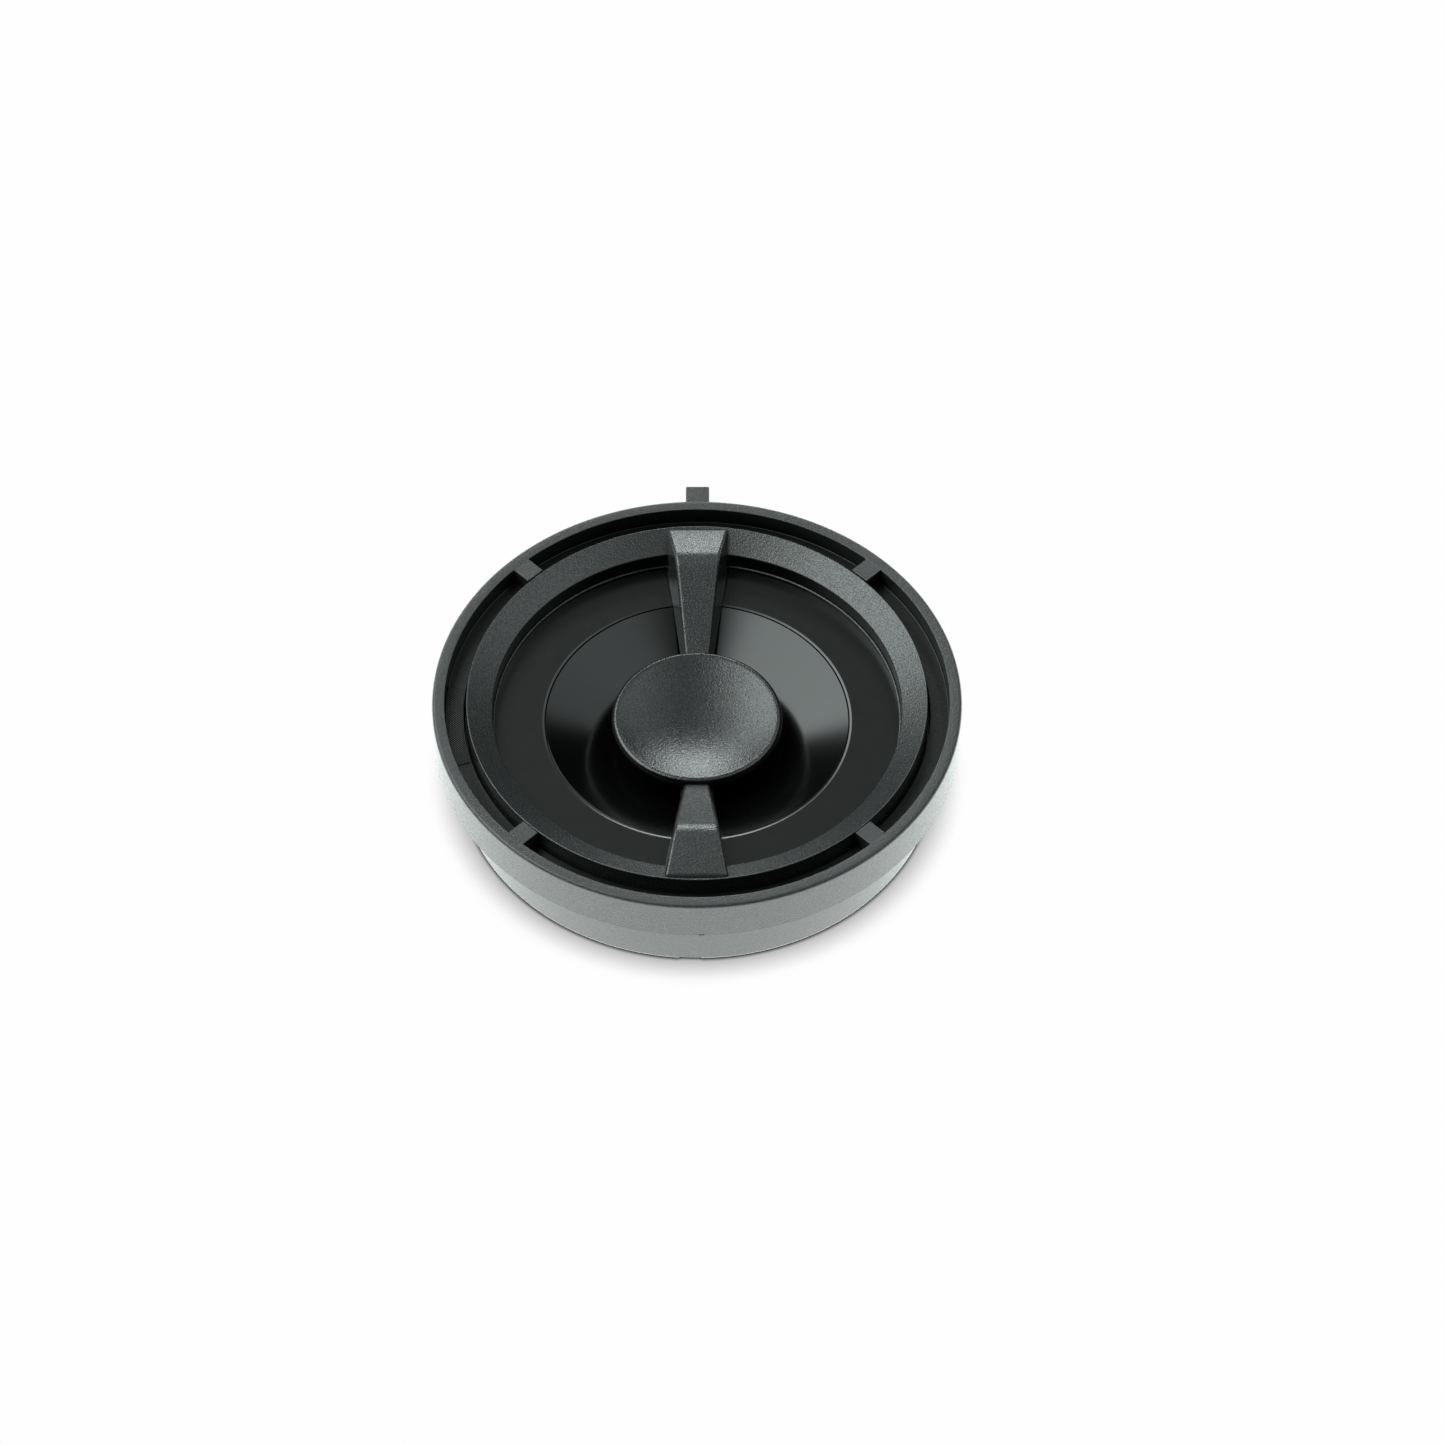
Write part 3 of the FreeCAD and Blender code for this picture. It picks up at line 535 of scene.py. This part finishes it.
def build_rim():
    """Outer ring with its webs, locating tab and moulding nub."""
    inner = RIM_RADIUS - ADAPTER_WALL
    relief = 23.9 * MM
    relief_top = 8.25 * MM
    parting = 0.06 * MM
    ring = lathe(
        "adapter_rim_shell",
        rounded(
            [
                (RIM_BORE, SEAT, 0.05 * MM),
                (relief, SEAT, 0.05 * MM),
                (relief, relief_top, 0.1 * MM),
                (inner, relief_top, 0.1 * MM),
                (inner, SEAT + parting, 0),
                (RIM_RADIUS, SEAT + parting, 0.04 * MM),
                (RIM_RADIUS, RIM_TOP, 0.34 * MM),
                (inner, RIM_TOP, 0.07 * MM),
                (inner, LEDGE, 0.1 * MM),
                (RIM_BORE, LEDGE, 0.05 * MM),
            ]
        ),
    )
    webs = []
    for degrees in (45, 135, 225, 315):
        web = block(
            "web",
            (WEB_START, -WEB_WIDTH / 2, LEDGE - 0.3 * MM),
            (inner + 0.4 * MM, WEB_WIDTH / 2, RIM_TOP - 0.02 * MM),
            0.07 * MM,
        )
        webs.append(turned_by(web, degrees))
    tab = block(
        "tab",
        (-TAB_WIDTH / 2, RIM_RADIUS - 0.6 * MM, TAB_LOW),
        (TAB_WIDTH / 2, TAB_REACH, TAB_HIGH),
        0.14 * MM,
    )
    nub = block(
        "nub",
        (-NUB_WIDTH / 2, -RIM_RADIUS - 0.03 * MM, SEAT),
        (NUB_WIDTH / 2, -RIM_RADIUS + 0.4 * MM, SEAT + NUB_HEIGHT),
    )
    turned_by(nub, NUB_OFFSET)
    combine(ring, webs + [tab, nub], "UNION")
    place(smooth(ring), "housing", RIM_PLASTIC, "adapter_rim")


ARM_START, ARM_START_TOP = 22.62 * MM, 11.33 * MM
CREASE, CREASE_ROUND = 17.36 * MM, 3.0 * MM
ARM_END, ARM_END_TOP = 8.43 * MM, 8.45 * MM
ARM_EDGE = 0.36 * MM
END_ROUND = 0.9 * MM
ARM_WIDTHS = [(ARM_START, 6.35 * MM), (CREASE, 4.45 * MM), (ARM_END, 2.55 * MM)]
ARM_LOWS = [(ARM_START, 8.6 * MM), (CREASE, 8.8 * MM), (15 * MM, 8.5 * MM), (ARM_END, 6.8 * MM)]
ARM_DRAFT = 0.16


def between(stations, reach):
    """Linear interpolation in a table of (reach, value) pairs that falls with reach."""
    for (far, far_value), (near, near_value) in zip(stations, stations[1:]):
        if reach >= near:
            share = (far - reach) / (far - near)
            return far_value + (near_value - far_value) * share
    return stations[-1][1]


def arm_profile():
    """(reach, top) along the arm: outer slope, rounded crease, inner slope."""
    below = RING_FOOT - 3 * MM  # the two low corners only close the outline
    corners = [
        (ARM_START, ARM_START_TOP, END_ROUND),
        (CREASE, CREASE_TOP, CREASE_ROUND),
        (ARM_END, ARM_END_TOP, 0),
        (ARM_END, below, 0),
        (ARM_START, below, 0),
    ]
    steps = 10
    points = rounded(corners, steps)[:-2]
    end, bend, foot = points[: steps + 1], points[steps + 1 : -1], points[-1]
    outer = [end[-1] + (bend[0] - end[-1]) * k / 4 for k in (1, 2, 3)]
    inner = [bend[-1] + (foot - bend[-1]) * k / 8 for k in range(1, 8)]
    return [*end, *outer, *bend, *inner, foot]


def build_arm():
    """One arm along +Y: a tapering bar with soft edges and a rounded crease."""
    steps = 5
    mesh = bmesh.new()
    rings = []
    for reach, top in arm_profile():
        half = between(ARM_WIDTHS, reach) / 2
        low = between(ARM_LOWS, reach)
        foot = half + (top - low) * ARM_DRAFT
        side = [Vector((foot, low))]
        centre = Vector((half - ARM_EDGE, top - ARM_EDGE))
        for step in range(steps + 1):
            angle = math.pi / 2 * step / steps
            side.append(centre + ARM_EDGE * Vector((math.cos(angle), math.sin(angle))))
        section = side + [Vector((-p.x, p.y)) for p in reversed(side)]
        curved = reach > ARM_START - 1.05 * END_ROUND
        ring = []
        for point in section:
            sag = ARM_START - math.sqrt(ARM_START**2 - point.x**2) if curved else 0
            ring.append(mesh.verts.new((point.x, reach - sag, point.y)))
        rings.append(ring)
    count = len(rings[0])
    for near, far in zip(rings, rings[1:]):
        for k in range(count):
            ahead = (k + 1) % count
            mesh.faces.new((near[k], near[ahead], far[ahead], far[k]))
    mesh.faces.new(rings[0])
    mesh.faces.new(rings[-1])
    return finished("arm", mesh)


def build_front_ring():
    """Inner ring with a conical face, its two arms and the hub under the cap."""
    cone_foot, cone_low = 20.1 * MM, 10.06 * MM
    foot = 20.25 * MM
    bead, bead_top = 19.85 * MM, WASHER_TOP + 0.3 * MM
    ring = lathe(
        "front_ring_shell",
        rounded(
            [
                (foot, RING_FOOT, 0),
                (RING_RADIUS, RING_FOOT, 0.05 * MM),
                (RING_RADIUS, RIM_TOP, 0.10 * MM),
                (cone_foot, cone_low, 0.14 * MM),
                (20.02 * MM, bead_top + 0.05 * MM, 0.03 * MM),
                (bead, bead_top, 0.06 * MM),
                (bead, WASHER_TOP, 0),
                (foot, WASHER_TOP, 0),
            ]
        ),
    )
    extras = []
    for degrees in (0, 180):
        arm = build_arm()
        spoke = block("spoke", (-1.6 * MM, 5.8 * MM, 6.55 * MM), (1.6 * MM, 9 * MM, 7.19 * MM))
        extras += [turned_by(arm, degrees), turned_by(spoke, degrees)]
    bore, hub_radius, hub_low, hub_top = 1.53 * MM, 6.5 * MM, 6.35 * MM, 7.2 * MM
    hub = lathe(
        "hub",
        rounded(
            [
                (bore, hub_low, 0),
                (hub_radius, hub_low, 0.1 * MM),
                (hub_radius, hub_top, 0.1 * MM),
                (bore, hub_top, 0),
            ]
        ),
        PLAIN,
    )
    combine(ring, extras + [hub], "UNION")
    place(smooth(ring), "housing", RING_PLASTIC, "front_ring")


def build_cap():
    """Dished cap with a rounded lip, a flat underside and a stem."""
    lip_radius, centre = 7.88 * MM, 7.62 * MM
    depth = CAP_LIP - centre
    bowl = (lip_radius**2 + depth**2) / (2 * depth)
    dish = []
    steps = 28
    for step in range(steps + 1):
        radius = lip_radius * (1 - step / steps)
        dish.append(Vector((radius, centre + bowl - math.sqrt(bowl**2 - radius**2))))
    under_mm = [
        (0, 6.35),
        (1.5, 6.35),
        (1.5, 7.25),
        (6.9, 7.25),
        (6.9, 7.6),
        (8.15, 7.6),
        (8.25, 7.66),
        (8.37, 8.0),
        (8.40, 8.25),
        (8.38, 8.45),
        (8.31, 8.62),
        (8.18, 8.75),
        (8.03, 8.81),
    ]
    outline = [Vector((across * MM, up * MM)) for across, up in under_mm] + dish
    cap = lathe("center_cap_shell", outline)
    place(smooth(cap, 50), "housing", CAP_PLASTIC, "center_cap")


def build_washer():
    """Flat satin washer with a small chamfer at its bore."""
    low = WASHER_LOW.z
    bore = 15.0 * MM
    chamfer, chamfer_drop = 0.22 * MM, 0.055 * MM
    washer = lathe(
        "trim_washer_shell",
        rounded(
            [
                (bore, low, 0),
                (WASHER_RADIUS, low, 0),
                (WASHER_RADIUS, WASHER_TOP, 0),
                (bore + chamfer, WASHER_TOP, 0.03 * MM),
                (bore, WASHER_TOP - chamfer_drop, 0.02 * MM),
            ]
        ),
    )
    place(smooth(washer, 50), "housing", WASHER_BLACK, "trim_washer")


def build_dish():
    """Inverted dome: a cone that flattens into a concave centre."""
    slope, bowl_slope = math.radians(24), math.radians(4)
    edge, joint, skin = 14.9 * MM, 7.4 * MM, 0.12 * MM
    joint_height = DISH_EDGE - (edge - joint) * math.tan(slope)
    bowl = joint / math.sin(bowl_slope)
    bowl_centre = joint_height + bowl * math.cos(bowl_slope)
    steps = 16
    centre = [
        Vector((joint * k / steps, bowl_centre - math.sqrt(bowl**2 - (joint * k / steps) ** 2)))
        for k in range(steps + 1)
    ]
    inner, flange = edge - skin, 15.6 * MM
    flange_low, flange_top = 7.05 * MM, 7.17 * MM
    under = [point - Vector((0, skin)) for point in centre]
    skirt = [
        Vector((inner, DISH_EDGE - skin - skin * math.tan(slope))),
        Vector((inner, flange_low)),
        Vector((flange, flange_low)),
        Vector((flange, flange_top)),
        Vector((edge, flange_top)),
        Vector((edge, DISH_EDGE - 0.02 * MM)),
        Vector((edge - 0.03 * MM, DISH_EDGE - 0.003 * MM)),
    ]
    dish = lathe("diaphragm_shell", under + skirt + centre[::-1])
    place(smooth(dish, 12), "diaphragm_assembly", DISH_BLACK, "diaphragm")


RIB_START, RIB_END, RIB_WIDTH, RIB_LOW = 15.05 * MM, 22.3 * MM, 0.8 * MM, 2.4 * MM
FIRST_RIB, RIB_PITCH = 195, 30  # degrees
NOTCH_WIDTH, NOTCH_DEPTH = 2.2 * MM, 0.28 * MM
NOTCH_OFFSET = -1.5  # degrees from -Y


def build_housing():
    """Barrel with its spigot, floor, ribs and the notch in its foot."""
    floor_low, floor_top = 3.5 * MM, 4.2 * MM
    recess, bore = 22.1 * MM, 14.25 * MM
    spigot, spigot_inner = 22.85 * MM, 21.9 * MM
    barrel = lathe(
        "rear_housing_shell",
        rounded(
            [
                (recess, 0, 0.1 * MM),
                (BARREL_RADIUS, 0, 0.35 * MM),
                (BARREL_RADIUS, SEAT, 0),
                (spigot, SEAT, 0),
                (spigot, SPIGOT_TOP, 0.05 * MM),
                (spigot_inner, SPIGOT_TOP, 0.05 * MM),
                (spigot_inner, floor_top, 0),
                (bore, floor_top, 0),
                (bore, floor_low, 0.1 * MM),
                (recess, floor_low, 0.15 * MM),
            ]
        ),
    )
    ribs = []
    for k in range(6):
        rib = block(
            "rib",
            (RIB_START, -RIB_WIDTH / 2, RIB_LOW),
            (RIB_END, RIB_WIDTH / 2, floor_low + 0.2 * MM),
            0.08 * MM,
        )
        ribs.append(turned_by(rib, FIRST_RIB + RIB_PITCH * k))
    notch = block(
        "notch",
        (-NOTCH_WIDTH / 2, -BARREL_RADIUS - MM, -MM),
        (NOTCH_WIDTH / 2, -21 * MM, NOTCH_DEPTH),
    )
    turned_by(notch, NOTCH_OFFSET)
    combine(barrel, ribs, "UNION")
    combine(barrel, [notch], "DIFFERENCE")
    place(smooth(barrel), "housing", HOUSING_PLASTIC, "rear_housing")


# ---------------------------------------------------------------- flexible pieces, copied from the CAD nodes

SURROUND_SECTORS = 16
SEAM_GAP = 1e-4 * MM
SLIVER = 0.002 * MM


def flex(piece, material, node):
    """A piece that runs from the housing to the diaphragm: give it its material and smooth
    shading, bake its transform and hide its CAD node.
    """
    paint(piece, material)
    smooth(piece)
    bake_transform(piece)
    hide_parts(node)


def copied_mesh(node):
    """A CAD node's mesh as a bmesh, joined along its seams."""
    mesh = bmesh.new()
    mesh.from_mesh(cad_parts[node].data)
    bmesh.ops.remove_doubles(mesh, verts=mesh.verts, dist=SEAM_GAP)
    return mesh


def build_leads():
    """Tinsel leads, each fixed at the rear with its inner end at the coil, copied from their CAD
    nodes.
    """
    copper = wound_wire("braided_copper", (0.74, 0.44, 0.24))
    for node in ("tinsel_lead_positive", "tinsel_lead_negative"):
        lead = finished(f"{node}_flexible", copied_mesh(node))
        flex(lead, copper, node)


def build_surround():
    """The half-roll cut into equal sectors along radii, each a piece of its own."""
    rubber = soft_matte("surround_rubber", (0.03, 0.03, 0.03), 9000, 0.75, 0.2)
    sweep = TURN / SURROUND_SECTORS
    for k in range(SURROUND_SECTORS):
        mesh = copied_mesh("surround")
        for turn, side in ((k * sweep, 1), ((k + 1) * sweep, -1)):
            cut = bmesh.ops.bisect_plane(
                mesh,
                geom=[*mesh.verts, *mesh.edges, *mesh.faces],
                plane_co=(0, 0, 0),
                plane_no=(side * math.sin(turn), -side * math.cos(turn), 0),
                clear_outer=True,
            )
            rim = [edge for edge in cut["geom_cut"] if isinstance(edge, bmesh.types.BMEdge)]
            bmesh.ops.edgeloop_fill(mesh, edges=rim)
        bmesh.ops.remove_doubles(mesh, verts=mesh.verts, dist=SLIVER)
        sector = finished(f"surround_sector_{k + 1:02d}", mesh)
        flex(
            sector,
            rubber,
            "surround",
        )


# ---------------------------------------------------------------- pieces that keep the CAD shape


def dress_cad_nodes():
    """Materials for the CAD pieces that keep their own shape."""
    steel = metal("plated_steel", (0.60, 0.61, 0.62), 0.28)
    tin = metal("tinned_brass", (0.78, 0.75, 0.68), 0.26)
    dressed = {
        "yoke_cup": steel,
        "pole_plate": steel,
        "magnet": metal("nickel", (0.70, 0.69, 0.66), 0.15),
        "voice_coil_former": metal("aluminium_foil", (0.78, 0.79, 0.80), 0.3),
        "voice_coil_winding": wound_wire("copper_turns", (0.72, 0.38, 0.18)),
        "gasket_ring": soft_matte("gasket_foam", (0.05, 0.05, 0.05), 6000),
        "surround_frame": CHASSIS_PLASTIC,
        "damping_felt": soft_matte("felt", (0.16, 0.16, 0.17), 3500),
        "chassis": CHASSIS_PLASTIC,
        "terminal_board": soft_matte("phenolic_board", (0.20, 0.11, 0.05), 2500, 0.55, 0.1),
        "terminal_positive": tin,
        "terminal_negative": tin,
        "terminal_rivets": tin,
        "solder_joints": metal("solder", (0.66, 0.67, 0.68), 0.35),
        "chassis_screws": metal("black_oxide", (0.10, 0.10, 0.11), 0.35),
        "slot_mesh_pad": MESH_PAD,
    }
    for node, material in dressed.items():
        paint(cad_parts[node], material)
        smooth(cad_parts[node])


build_rim()
build_front_ring()
build_cap()
build_washer()
build_dish()
build_housing()
build_leads()
build_surround()
dress_cad_nodes()

# ---------------------------------------------------------------- stage, light and camera

FLOOR_HALF = 2.0
FLOOR_DROP = 0.02 * MM
FLOOR_GLOW = 3.8
SHADOW_REACH = 4 * MM
CONTACT_REACH = 0.4 * MM


def build_floor():
    """White light-table floor: it glows onto the part, and for the camera a soft contact shadow
    is painted on it from ambient occlusion.
    """
    size = FLOOR_HALF
    mesh = bmesh.new()
    corners = [(-size, -size), (size, -size), (size, size), (-size, size)]
    mesh.faces.new([mesh.verts.new((x, y, -FLOOR_DROP)) for x, y in corners])
    floor = finished("floor", mesh)
    shader = Shader("white_floor")
    # Painted shadow: what the camera sees of the floor darkens with ambient occlusion, broadly
    # within 4 mm and to a dark line at the contact.
    soft = shader.add("ShaderNodeAmbientOcclusion", samples=16)
    soft.inputs["Distance"].default_value = SHADOW_REACH
    shadow = shader.spread(soft.outputs["AO"], 0.16, 0.92, 0.0, 0.99)
    edge = shader.add("ShaderNodeAmbientOcclusion", samples=16)
    edge.inputs["Distance"].default_value = CONTACT_REACH
    contact = shader.spread(edge.outputs["AO"], 0.45, 0.95, 0.3, 1.0)
    shadow = shader.math("MULTIPLY", shadow, contact)
    paper = shader.spread(shader.noise(60), 0.3, 0.7, 0.999, 1.001)
    seen = shader.add("ShaderNodeEmission")
    shader.feed(seen, "Strength", shader.math("MULTIPLY", shadow, paper))
    glow = shader.add("ShaderNodeEmission")
    glow.inputs["Color"].default_value = (0.94, 1.0, 0.985, 1)
    glow.inputs["Strength"].default_value = FLOOR_GLOW
    chooser = shader.add("ShaderNodeMixShader")
    path = shader.add("ShaderNodeLightPath")
    shader.links.new(path.outputs["Is Camera Ray"], chooser.inputs[0])
    shader.links.new(glow.outputs[0], chooser.inputs[1])
    shader.links.new(seen.outputs[0], chooser.inputs[2])
    shader.links.new(chooser.outputs[0], shader.nodes["Material Output"].inputs["Surface"])
    shader.nodes.remove(shader.surface)
    floor.data.materials.append(shader.material)


class Studio:
    """World light made of soft patches, each given by the directions that it fills."""

    def __init__(self):
        world = bpy.data.worlds.new("studio")
        bpy.context.scene.world = world
        world.use_nodes = True
        self.tree = world.node_tree
        self.tree.nodes.clear()
        self.direction = self.tree.nodes.new("ShaderNodeTexCoord").outputs["Generated"]
        split = self.tree.nodes.new("ShaderNodeSeparateXYZ")
        self.tree.links.new(self.direction, split.inputs[0])
        self.axes = {name: split.outputs[name] for name in "XYZ"}
        self.total = None

    def ramp(self, axis, dark, bright):
        """0 where the axis is at dark, 1 where it is at bright, smooth between."""
        node = self.tree.nodes.new("ShaderNodeMapRange")
        node.interpolation_type = "SMOOTHSTEP"
        self.tree.links.new(self.axes[axis], node.inputs["Value"])
        node.inputs["From Min"].default_value = dark
        node.inputs["From Max"].default_value = bright
        return node.outputs["Result"]

    def join(self, operation, first, second):
        node = self.tree.nodes.new("ShaderNodeMath")
        node.operation = operation
        for index, source in enumerate((first, second)):
            if hasattr(source, "is_output"):
                self.tree.links.new(source, node.inputs[index])
            else:
                node.inputs[index].default_value = source
        return node.outputs["Value"]

    def patch(self, radiance, *ramps):
        """Add a patch: its radiance times all its ramps."""
        level = radiance
        for axis, dark, bright in ramps:
            level = self.join("MULTIPLY", self.ramp(axis, dark, bright), level)
        self.total = level if self.total is None else self.join("ADD", self.total, level)

    def light(self, backdrop):
        """Wire the patches as light and the pale backdrop for what the camera sees."""
        nodes, links = self.tree.nodes, self.tree.links
        lit = nodes.new("ShaderNodeBackground")
        links.new(self.total, lit.inputs["Strength"])
        lit.inputs["Color"].default_value = (0.915, 1.0, 0.99, 1)
        seen = nodes.new("ShaderNodeBackground")
        seen.inputs["Color"].default_value = (1, 1, 1, 1)
        seen.inputs["Strength"].default_value = backdrop
        chooser = nodes.new("ShaderNodeMixShader")
        path = nodes.new("ShaderNodeLightPath")
        links.new(path.outputs["Is Camera Ray"], chooser.inputs[0])
        links.new(lit.outputs[0], chooser.inputs[1])
        links.new(seen.outputs[0], chooser.inputs[2])
        out = nodes.new("ShaderNodeOutputWorld")
        links.new(chooser.outputs[0], out.inputs["Surface"])


def build_light():
    """A dim ceiling, a bright box at the left, a weaker one at the right and strips behind.

    A ramp is an axis of the direction, the value where the patch ends and where it is full.
    """
    studio = Studio()
    studio.patch(0.36, ("Z", 0.62, 0.85))
    studio.patch(5.4, ("X", -0.09, -0.34), ("Z", 0.46, 0.545), ("Y", -0.40, -0.10))
    studio.patch(1.35, ("X", 0.10, 0.36), ("Z", 0.495, 0.60), ("Y", -0.40, -0.10))
    behind = ("Y", 0.5, 0.6)
    studio.patch(
        17.0, behind, ("X", -0.24, -0.08), ("X", 0.24, 0.08), ("Z", 0.37, 0.45), ("Z", 0.55, 0.47)
    )
    studio.patch(
        4.4, behind, ("X", -0.22, -0.07), ("X", 0.22, 0.07), ("Z", 0.13, 0.22), ("Z", 0.44, 0.34)
    )
    studio.light(1.0)


RIM_CENTRE = Vector((0, 0, RIM_TOP))
CAMERA_DISTANCE = 0.802
CAMERA_PITCH = math.radians(50.2)
CAMERA_LENS = 203.8
SENSOR = 36.0
AIM_RIGHT, AIM_DOWN = 2.50 * MM, 2.27 * MM


def build_camera():
    """Long lens, level, looking along +Y and down at the grille."""
    forward = Vector((0, math.cos(CAMERA_PITCH), -math.sin(CAMERA_PITCH)))
    right = Vector((1, 0, 0))
    up = right.cross(forward)
    aim = RIM_CENTRE + right * AIM_RIGHT - up * AIM_DOWN
    data = bpy.data.cameras.new("camera")
    data.lens = CAMERA_LENS
    data.sensor_width = SENSOR
    data.clip_start = 0.01
    data.clip_end = 10
    camera = bpy.data.objects.new("camera", data)
    camera.matrix_world = Matrix.Translation(aim - forward * CAMERA_DISTANCE) @ Matrix(
        (right, up, -forward)
    ).transposed().to_4x4()
    bpy.context.scene.collection.objects.link(camera)
    bpy.context.scene.camera = camera


build_floor()
build_light()
build_camera()
bpy.context.scene.view_settings.view_transform = "Standard"

bpy.context.view_layer.update()
